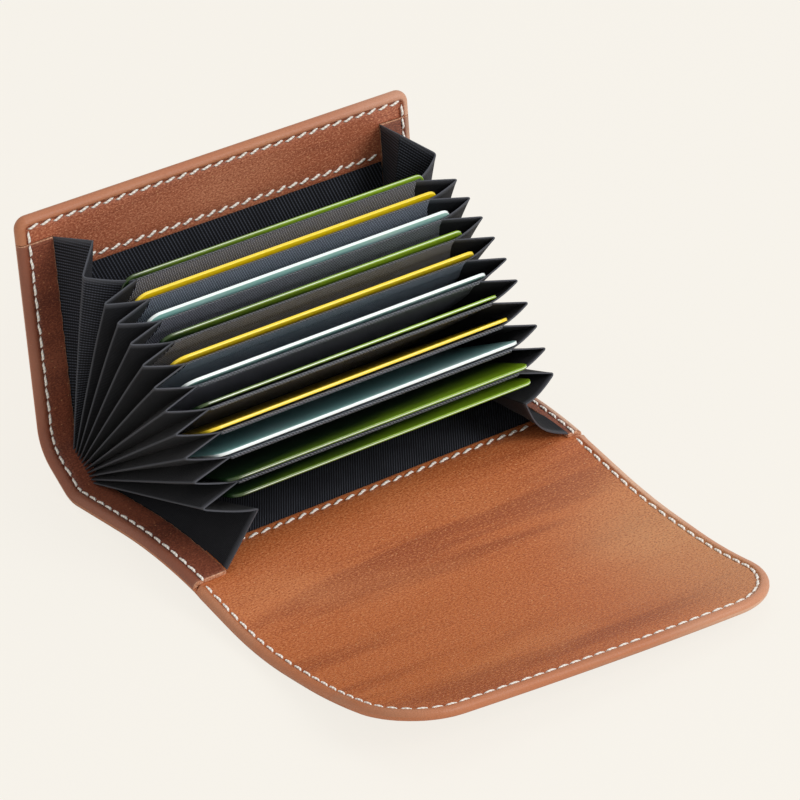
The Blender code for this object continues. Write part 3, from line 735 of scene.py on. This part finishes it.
STRIP_TOP = BACK_LENGTH - STRIP_BACK_LENGTH
STRIP_FRONT = FRONT_START + STRIP_FRONT_LENGTH
SPINE_FRONT_END = FRONT_START + 50.5
BRIDGE_END = FRONT_START + 75.0
FIRST_BEND = (FRONT_START + 54.0, FRONT_START + 64.0)
FLAP_FOLD = FRONT_START + 93.5
CREASE_BEND = (FRONT_FOLD - 3.5, FRONT_FOLD + 3.5)


def turn_flap(piece):
    """Bakes a piece's placement into its mesh, for the stretch between the bridge and the flap's end; it
    finds the point of the flap's fold but does not use it, and bends nothing."""
    fold = follow(COVER, np.array([FLAP_FOLD]), np.array([1.2]))[0]
    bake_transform(piece)


def carry(piece, stretch):
    """Joins a piece of the back to the back cover's body; a piece of any other stretch only has its placement
    baked into its mesh.
    """
    if stretch == "back":
        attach(piece, "back_cover")
    elif stretch == "spine_front":
        at(CREASE_BEND[0])
        at(CREASE_BEND[1])
        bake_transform(piece)
    elif stretch == "bridge":
        at(FIRST_BEND[0])
        at(FIRST_BEND[1])
        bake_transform(piece)
    else:
        turn_flap(piece)


# Each stretch of the cover: where it starts and ends, and the parts whose leather it shows.
STRETCHES = {
    "back": (0.0, BACK_FOLD, ("back",)),
    "spine_front": (BACK_FOLD, SPINE_FRONT_END, ("spine", "front")),
    "bridge": (SPINE_FRONT_END, BRIDGE_END, ("bridge",)),
    "flap": (BRIDGE_END, FLAP_FOLD, ()),
    "flap_end": (FLAP_FOLD, COVER_END, ("flap",)),
}
for stretch, (start, end, parts) in STRETCHES.items():
    for layer, make in (("outer", outer_leather), ("inner", inner_leather)):
        if (stretch, layer) != ("back", "inner"):
            piece = make(f"{stretch}_{layer}_leather_skin", start, end)
            settle(piece, "cover_leather", None, *[f"{part}_{layer}_leather" for part in parts])
            carry(piece, stretch)

settle(top_band(), "cover_leather", "back_cover", "back_top_band")

for side, word in SIDES:
    piece = strip(f"back_{word}_strip_skin", side, STRIP_TOP, BACK_FOLD, STRIP_TOP)
    settle(piece, "binding_leather", "back_cover", f"back_{word}_strip")
    piece = strip(f"front_{word}_strip_skin", side, BACK_FOLD, STRIP_FRONT, STRIP_FRONT)
    settle(piece, "binding_leather", None, f"spine_{word}_strip", f"front_{word}_strip")
    carry(piece, "spine_front")

# The linings, each a rectangle of cloth that is cut to its width and its run along the cover.
for part, cloth, body, start, end, extra in (
        ("back", RIBBED, "back_cover", BAND_HEIGHT - 1.0, BACK_FOLD - 0.5, 0.0),
        ("spine", TWILL, "spine", BACK_FOLD + 1.5, FRONT_FOLD - 1.5, 0.0),
        ("front", TWILL, "front_cover", FRONT_FOLD + 1.0, FRONT_START + FRONT_LINING_LENGTH + 0.3,
         FRONT_LINING_EXTRA)):
    piece = flat_plate(part + "_lining_cloth", cloth, LINING_HALF, start, end, *LINING_LEVELS,
                       beside_strips=extra > 0)
    settle(piece, "lining_fabric", body, part + "_lining")


def fold_line(heights, half, direction, foot, start_half=None):
    """One fold of a side gusset: from beside the dividers' feet up to its top, x as given."""
    spots = follow((foot, direction, ((1.0, 0),)), heights, np.zeros_like(heights))
    widths = half if start_half is None else start_half + (half - start_half) * heights / heights[-1]
    return np.stack([np.broadcast_to(widths, heights.shape), spots[:, 0], spots[:, 1]], -1)


ROWS = 27


def valley_half(heights):
    """Half width between the valley folds: even up to 40 mm, then drawn in to the hem."""
    return VALLEY_HALF + (VALLEY_TOP_HALF - VALLEY_HALF) * ease(38.0, DIVIDER_HEIGHT, heights)


MIDDLE_FOOT = (foot_at(0) + foot_at(11)) / 2
GATHER = np.array([60.75, 5.9])


def fold_lines(side):
    """All folds of one side's gusset as rows of points: the sewn back edge, then valleys and ridges in turn,
    then the sewn front edge."""
    share = np.linspace(0, 1, ROWS) ** 0.85

    def rise(top):
        return FOLD_START + (top - FOLD_START) * share

    lines = []
    back = BACK_LENGTH - (3.0 + (STRIP_BACK_LENGTH - 3.0) * share)
    level = 2.95 + 0.35 * ease(42.5, 45.0, BACK_LENGTH - back)
    spots = follow(COVER, back, level)
    lines.append(np.stack([np.full(ROWS, STRIP_INNER - 0.1), spots[:, 0], spots[:, 1]], -1))
    lines.append(fold_line(rise(FREE_FOLD_HEIGHT), VALLEY_HALF, REAR_FOLD_DIRECTION, foot_at(0)))
    for number in range(1, 12):
        before = REAR_FOLD_DIRECTION if number == 1 else divider_direction(number - 1)
        after = FRONT_FOLD_DIRECTION if number == 11 else divider_direction(number)
        foot = (foot_at(number - 1) + foot_at(number)) / 2
        ridge = fold_line(rise(DIVIDER_HEIGHT), RIDGE_HALF, (before + after) / 2, foot, 49.4)
        gathered = GATHER + 0.72 * (foot - MIDDLE_FOOT)
        ridge[:, 1:] += (gathered - foot) * (1 - share[:, None]) ** 1.5
        lines.append(ridge)
        if number < 11:
            heights = rise(DIVIDER_HEIGHT + HEM_RISE[number - 1])
            lines.append(fold_line(heights, valley_half(heights), after, foot_at(number)))
    lines.append(fold_line(rise(FREE_FOLD_HEIGHT), FRONT_FOLD_HALF, FRONT_FOLD_DIRECTION, foot_at(11),
                           VALLEY_HALF))
    front = FRONT_START + 3.0 + (STRIP_FRONT_LENGTH - 3.0) * share
    spots = follow(COVER, front, np.full(ROWS, 3.0) + 0.6 * ease(42, 45, front - FRONT_START))
    lines.append(np.stack([strip_inner(side, front) - 0.1, spots[:, 0], spots[:, 1]], -1))
    return lines


def grid_normals(surface):
    """Unit normals of a grid of points, found from its slopes down and across."""
    normal = np.cross(np.gradient(surface, axis=1), np.gradient(surface, axis=0))
    return normal / np.maximum(np.linalg.norm(normal, axis=-1, keepdims=True), 1e-9)


def cloth_shell(name, surface, finish, flat, fold):
    """A cloth of even thickness about a grid of points, a little thicker along its top hem: each side is
    moved along the surface's own normals."""
    height = flat[..., 1]
    hem = 0.08 * peak(height.max() - height, 0.7)
    offset = grid_normals(surface) * ((0.26 + hem)[..., None] / 2)
    return shell(name, surface + offset, surface - offset, finish, flat, fold=fold)


def facet(first, second, columns, bulge):
    """A cloth facet between two folds, bowed out by bulge on each row, as a slack cloth is."""
    share = np.linspace(0, 1, columns)[None, :, None]
    surface = first[:, None] * (1 - share) + second[:, None] * share
    return surface + grid_normals(surface) * bulge[:, None, None] * np.sin(np.pi * share)


def pleat(first, ridge, second):
    """Two facets that meet in a rounded ridge. The rear one is straight; the front one leaves its valley
    along the divider, x growing evenly and the rest as the power 1.4 of the share. A parabola goes over the
    ridge."""
    rise = np.linspace(0, 0.9, 7)[None, :, None]
    left = first[:, None] * (1 - rise) + ridge[:, None] * rise
    rise = np.concatenate([rise, rise**1.4, rise**1.4], axis=-1)
    right = second[:, None] * (1 - rise) + ridge[:, None] * rise
    share = np.linspace(0, 1, 7)[1:-1][None, :, None]
    start, end = left[:, -1:], right[:, -1:]
    over = (1 - share) ** 2 * start + 2 * share * (1 - share) * ridge[:, None] + share**2 * end
    right = right[:, ::-1]
    return np.concatenate([left, over, right], axis=1)


for side, word in SIDES:
    mirror = np.array([side, 1, 1])
    lines = fold_lines(side)
    for number in range(13):
        if number == 0 or number == 12:
            first, second = lines[:2] if number == 0 else lines[-2:]
            bulge = 0.25 * np.sin(np.pi * np.clip(np.linspace(0, 1.1, ROWS), 0, 1))
            if number == 12:
                bulge = -bulge if side < 0 else 0.13 * np.linalg.norm(second - first, axis=-1)
            surface = facet(first, second, 9, bulge)
        else:
            first, ridge, second = lines[2 * number - 1:2 * number + 2]
            surface = pleat(first, ridge, second)
        finish = SIDE_CLOTH if number < 2 else PLEAT_CLOTH
        surface = surface * mirror
        widths = np.linalg.norm(np.diff(surface, axis=1), axis=-1)
        across = np.concatenate([np.zeros((ROWS, 1)), np.cumsum(widths, axis=1)], axis=1)
        up = np.linalg.norm(np.diff(surface, axis=0), axis=-1)
        up = np.concatenate([np.zeros((1, surface.shape[1])), np.cumsum(up, axis=0)], axis=0)
        flat = np.stack([across, up.mean(axis=1, keepdims=True) + 0 * across], -1)
        # Painted highlight for the fold mark: the top edge of each pleat and, but for the plain facets, its
        # ridge.
        top = 1 - ease(0.02, 0.2, flat[..., 1].max() - flat[..., 1])
        crest = np.zeros_like(top)
        if 0 < number < 12:
            distance = np.abs(across - across[:, 9:10])
            crest = 0.7 * (1 - ease(0.05, 0.35, distance))
        name = f"{word}_gusset_pleat_{number:02d}"
        piece = cloth_shell(name, surface, finish, flat, np.maximum(top, crest))
        wide, high = across[:, -1], up.mean(axis=1)
        cut_width, cut_length = float(wide.max()) * 0.001, float(high.max()) * 0.001
        cut_area = float(((wide[1:] + wide[:-1]) / 2 * np.diff(high)).sum()) * 1e-6
        cut_area = min(cut_area, cut_width * cut_length)
        if number == 0:
            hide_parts(f"{word}_gusset")
            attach(piece, "back_cover")
        elif number == 12:
            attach(piece, "front_cover")
        else:
            front = "front_cover" if number == 11 else f"divider_{number:02d}"
            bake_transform(piece)


def card_plate(name, finish, place, dark_left):
    """A plate with rounded corners: each row is as wide as the outline there, and its edges are softened by
    a quarter round of the lip's size. The pale edge can fade out at the left corner."""
    half, length, corner, lip = CARD_WIDTH / 2, CARD_HEIGHT, CARD_CORNER, 0.16
    insets = np.array([0, 0.03, 0.1, 0.22, 0.45, 1.0, 2.0, 3.2])
    rows = spread(0, length, 2.5, list(insets) + list(length - insets))
    sides, gaps = crowded(insets, 25, 4.4)
    near = np.minimum(np.minimum(rows, length - rows), corner)
    width = half - corner + np.sqrt(np.maximum(corner**2 - (corner - near) ** 2, 0))
    x = sides[None] * (width[:, None] - gaps[None])
    height = np.broadcast_to(rows[:, None], x.shape)
    edge = rounded_edge(half - np.abs(x), [(corner, np.minimum(height, length - height))])
    drop = lip * (1 - quarter(edge / lip))
    pale = 1 - ease(lip * 0.4, lip, edge)
    if dark_left:
        pale = pale * ease(-half + 1.5, -half + 5.0, x)
    return shell(name, place(x, height, CARD_THICKNESS - drop), place(x, height, drop), finish,
                 np.stack([x, height], -1), edge=pale, core=(1, 0))


for number in range(1, 11):
    body = f"divider_{number:02d}"
    hem_top = DIVIDER_HEIGHT + HEM_RISE[number - 1]

    def place(x, height, level, number=number):
        return on_divider(number, x, height, level)

    rows = spread(0, hem_top, 1.5, (46.0, 46.3, 46.6, hem_top - 0.8, hem_top - 0.4, hem_top - 0.2))
    share, height = np.meshgrid(np.linspace(-1, 1, 45), rows)
    x = share * (valley_half(height) - 0.1)
    hem = 0.16 * ease(45.9, 46.6, height)
    flat = np.stack([x, height], -1)
    # Painted highlight for the fold mark: along the top hem and the hem's fold line.
    fold = np.maximum(1 - ease(0.05, 0.4, hem_top - height), 0.6 * peak(height - 46.3, 0.25))
    rear_face, front_face = place(x, height, 0.15), place(x, height, -0.15 - hem)
    piece = shell(body + "_cloth", rear_face, front_face, WOVEN, flat, fold=fold)
    settle(piece, "accordion_fabric", body, body)
    turns = np.linspace(0, 2 * np.pi, 9)[:-1]
    run = spread(-VALLEY_TOP_HALF - 0.2, VALLEY_TOP_HALF + 0.2, 1.5)
    around, length = np.meshgrid(turns, run)
    radius, front = (0.22, -0.05) if number < 6 else (0.38, -0.28)
    points = place(length, hem_top + radius * np.cos(around), front + radius * np.sin(around))
    quads, caps = tube_faces(len(run), len(turns))
    cord = finish_piece(body + "_corded_hem", points.reshape(-1, 3), quads.tolist() + caps.tolist(), CORDED,
                        np.stack([length, around], -1).reshape(-1, 2), tubes=True)
    settle(cord, "accordion_fabric", body)

CARD_COLOURS = ("green", "yellow", "teal") * 3 + ("green", "green")
CARD_FEET = (0.15, 0.15, 0.15, 0.15, 0.15, 0.3, 0.5, 0.9, 1.1, 1.8, 1.8)
for number, (colour, foot) in enumerate(zip(CARD_COLOURS, CARD_FEET), start=1):
    if number == 11:
        def place(x, height, level, foot=foot):
            return on_divider(10, x, height + foot, level - 1.01, 157.5)
    else:
        def place(x, height, level, foot=foot, number=number):
            lean = 0.25 + (CARD_LEAN if number > 1 else CARD_1_LEAN) * height / CARD_HEIGHT
            return on_divider(number, x, height + foot, level + lean)
    node = f"card_{number:02d}"
    piece = card_plate(node + "_printed", CARD_FINISHES[colour], place, colour == "green")
    settle(piece, "card_" + colour, node, node)


# The seams.
def side_line(side, start, end):
    """The seam down one side of the cover, a fixed inset from its edge."""
    distance = np.linspace(start, end, 400)
    return np.stack([np.full(400, side * (HALF - SEAM_INSET)), distance], -1)


def tip_line():
    """The seam round the flap: down both sides and round the corners at the same inset."""
    radius = FLAP_CORNER - SEAM_INSET
    centre = COVER_END - FLAP_CORNER
    down = np.stack([np.full(200, HALF - SEAM_INSET), np.linspace(FLAP_FOLD, centre, 200)], -1)
    angle = np.linspace(0, np.pi / 2, 100)
    corner = np.stack([HALF - FLAP_CORNER + radius * np.cos(angle), centre + radius * np.sin(angle)], -1)
    right = np.concatenate([down, corner])
    left = right[::-1] * np.array([-1, 1])
    return np.concatenate([right, left])


def seam_level(x, distance):
    """The face that a seam lies on: the strips, then the flap's inner leather."""
    return STACK + (2.28 - STACK) * ease(53.3, 55.0, distance - FRONT_START) - 0.14


def outside_level(x, distance):
    """The outer leather's face in the seam's hollow."""
    return np.full(np.shape(x), 0.14)


def band_level(x, distance):
    return np.full(np.shape(x), 2.95 - 0.10)


def front_seam_level(x, distance):
    return facing_top(x, distance, np.full(np.shape(x), 20.0)) + 0.10


def cross_line(half, distance):
    """A seam across the cover, half wide to each side."""
    return np.stack([np.linspace(-half, half, 400), np.full(400, distance)], -1)


seams = []
for side, word in SIDES:
    for part, start, end, stretch, slant in (
            ("back", SEAM_INSET + 0.6, BACK_FOLD, "back", 4),
            ("front", BACK_FOLD, SPINE_FRONT_END, "spine_front", 5),
            ("bridge", SPINE_FRONT_END, BRIDGE_END, "bridge", 6),
            ("flap", BRIDGE_END, FLAP_FOLD, "flap", 6)):
        seams.append((f"{part}_{word}_seam", side_line(side, start, end), seam_level, stretch, slant))
front_row = cross_line(46.0, FRONT_START + FRONT_LINING_LENGTH + ROW_INSET)
seams += [
    ("flap_end_seam", tip_line(), seam_level, "flap_end", 6),
    ("back_top_seam", cross_line(HALF - SEAM_INSET, SEAM_INSET), band_level, "back", -12),
    ("band_lower_seam", cross_line(45.5, BAND_HEIGHT - ROW_INSET), band_level, "back", -14),
    ("front_pocket_seam", front_row, front_seam_level, "spine_front", -10),
]
for name, line, level, stretch, slant in seams:
    carry(seam_stitches(name, line, level, slant), stretch)
    if name != "front_pocket_seam":
        carry(seam_stitches(name + "_outside", line, outside_level, slant, outside=True), stretch)


# What lies inside the leather.
def fold_welt():
    """A leather welt in the back fold: part of a ring about the axis on which the spine turns against the
    back, just under the outer leather. It rides with the spine, and shows as the groove's floor when the
    fold closes."""
    axis = np.array([67.106, 10.166])
    middle = np.linspace(-1, 1, 41)[1:-1] * (HALF - INSETS[-1])
    x = np.concatenate([-HALF + INSETS, middle, HALF - INSETS[::-1]])
    turns, x = np.meshgrid(np.linspace(-38.8, 3.3, 15), x)
    radius = 2.2 - (STACK / 2 - rolled(HALF - np.abs(x), STACK))
    outer, inner = [np.stack([x, *np.moveaxis(axis + size[..., None] * along(turns), -1, 0)], -1)
                    for size in (radius, np.maximum(radius - 0.6, 0.1))]
    return shell("back_fold_welt", outer, inner, TAN, np.stack([x, BACK_FOLD + 0.04 * turns], -1))


settle(fold_welt(), "cover_leather", "spine")
piece = flat_plate("back_board", BOARD, HALF - 2.2, 2.2, COVER_RUNS[0][0] - 0.5, 1.25, 2.35, 3.0)
settle(piece, "board", "back_cover", "back_stiffener")


def magnet(node, distance, body):
    """A steel disc in the cover: a profile of ring radii and levels carried round its centre."""
    profile = np.array([(0, 0.6), (5.8, 0.6), (6, 0.75), (6, 1.45), (5.8, 1.6), (0, 1.6)])
    turns = np.linspace(0, 2 * np.pi, 49)[:-1]
    across = profile[:, :1] * np.cos(turns)
    down = profile[:, :1] * np.sin(turns)
    points = on_cover(across, distance + down, profile[:, 1:])
    quads, _ = tube_faces(*across.shape)
    flat = np.stack([across, down], -1).reshape(-1, 2)
    disc = finish_piece(node + "_disc", points.reshape(-1, 3), quads.tolist(), STEEL, flat)
    settle(disc, "magnet_steel", body, node)


magnet("flap_magnet", COVER_END - 9.5, "flap_end")
magnet("back_magnet", BACK_LENGTH - 38.8, "back_cover")


def show_camera(tree, operation, second, plain, seen, output):
    """Shows one shader to the camera's rays and the plain one to the others, by a share of the rays' kind."""
    rays = tree.nodes.new("ShaderNodeLightPath").outputs
    share = tree.nodes.new("ShaderNodeMath")
    share.operation = operation
    tree.links.new(rays["Is Camera Ray"], share.inputs[0])
    if isinstance(second, str):
        tree.links.new(rays[second], share.inputs[1])
    else:
        share.inputs[1].default_value = second
    mix = tree.nodes.new("ShaderNodeMixShader")
    for number, source in enumerate((share, plain, seen)):
        tree.links.new(source.outputs[0], mix.inputs[number])
    tree.links.new(mix.outputs[0], tree.nodes[output].inputs["Surface"])


def cream_floor():
    """A pale floor that the camera sees nearly evenly lit, with the object's soft shadow on it."""
    material = bpy.data.materials.new("cream_floor")
    material.use_nodes = True
    tree = material.node_tree
    shader = tree.nodes["Principled BSDF"]
    shader.inputs["Base Color"].default_value = paint(246, 241, 232)
    shader.inputs["Roughness"].default_value = 0.9
    glow = tree.nodes.new("ShaderNodeEmission")
    glow.inputs["Color"].default_value = paint(248, 244, 236)
    show_camera(tree, "MULTIPLY", 0.9, shader, glow, "Material Output")
    mesh = bpy.data.meshes.new("floor")
    mesh.from_pydata([(-3, -3, 0), (3, -3, 0), (3, 3, 0), (-3, 3, 0)], [], [(0, 1, 2, 3)])
    mesh.materials.append(material)
    link("floor", mesh)


def studio():
    """Soft room light from all round, a broad lamp high at the right and a weaker one at the left."""
    world = bpy.data.worlds.new("studio")
    bpy.context.scene.world = world
    world.use_nodes = True
    tree = world.node_tree
    room = tree.nodes["Background"]
    room.inputs["Color"].default_value = (1.0, 0.985, 0.96, 1.0)
    room.inputs["Strength"].default_value = 0.55
    seen = tree.nodes.new("ShaderNodeBackground")
    seen.inputs["Color"].default_value = paint(248, 244, 236)
    show_camera(tree, "MAXIMUM", "Is Transmission Ray", room, seen, "World Output")
    lamps = (("key", (0.5, -0.85, 0.82), 7.3, 0.6), ("fill", (-0.6, -0.7, 0.5), 0.7, 0.7),
             ("top", (0.2, 0.1, 1.0), 1.1, 0.5))
    for name, spot, power, size in lamps:
        light = bpy.data.lights.new(name, "AREA")
        light.energy = power
        light.size = size
        aim = -np.array(spot) / np.linalg.norm(spot)
        side = np.cross(aim, (0, 0, 1))
        side /= np.linalg.norm(side)
        rise = np.cross(side, aim)
        turn = np.eye(4)
        turn[:3, 0], turn[:3, 1], turn[:3, 2], turn[:3, 3] = side, rise, -aim, spot
        link(name, light).matrix_world = Matrix(turn.tolist())


def camera():
    """The photograph's view: a long lens from the front left, looking down at about 30 degrees."""
    right = (0.80967251, -0.58688142, 0.00079351)
    down = (-0.31037847, -0.42935064, -0.84812926)
    forward = (0.498092, 0.68646065, -0.52978876)
    turn = np.eye(4)
    turn[:3, 0], turn[:3, 1], turn[:3, 2] = right, -np.array(down), -np.array(forward)
    turn[:3, 3] = np.array([-478.613, -658.977, 546.195]) * 0.001
    data = bpy.data.cameras.new("camera")
    data.sensor_width = 36.0
    data.lens = 189.0
    data.clip_start = 0.05
    view = link("camera", data)
    view.matrix_world = Matrix(turn.tolist())
    bpy.context.scene.camera = view


cream_floor()
studio()
camera()
bpy.context.scene.view_settings.view_transform = "Standard"
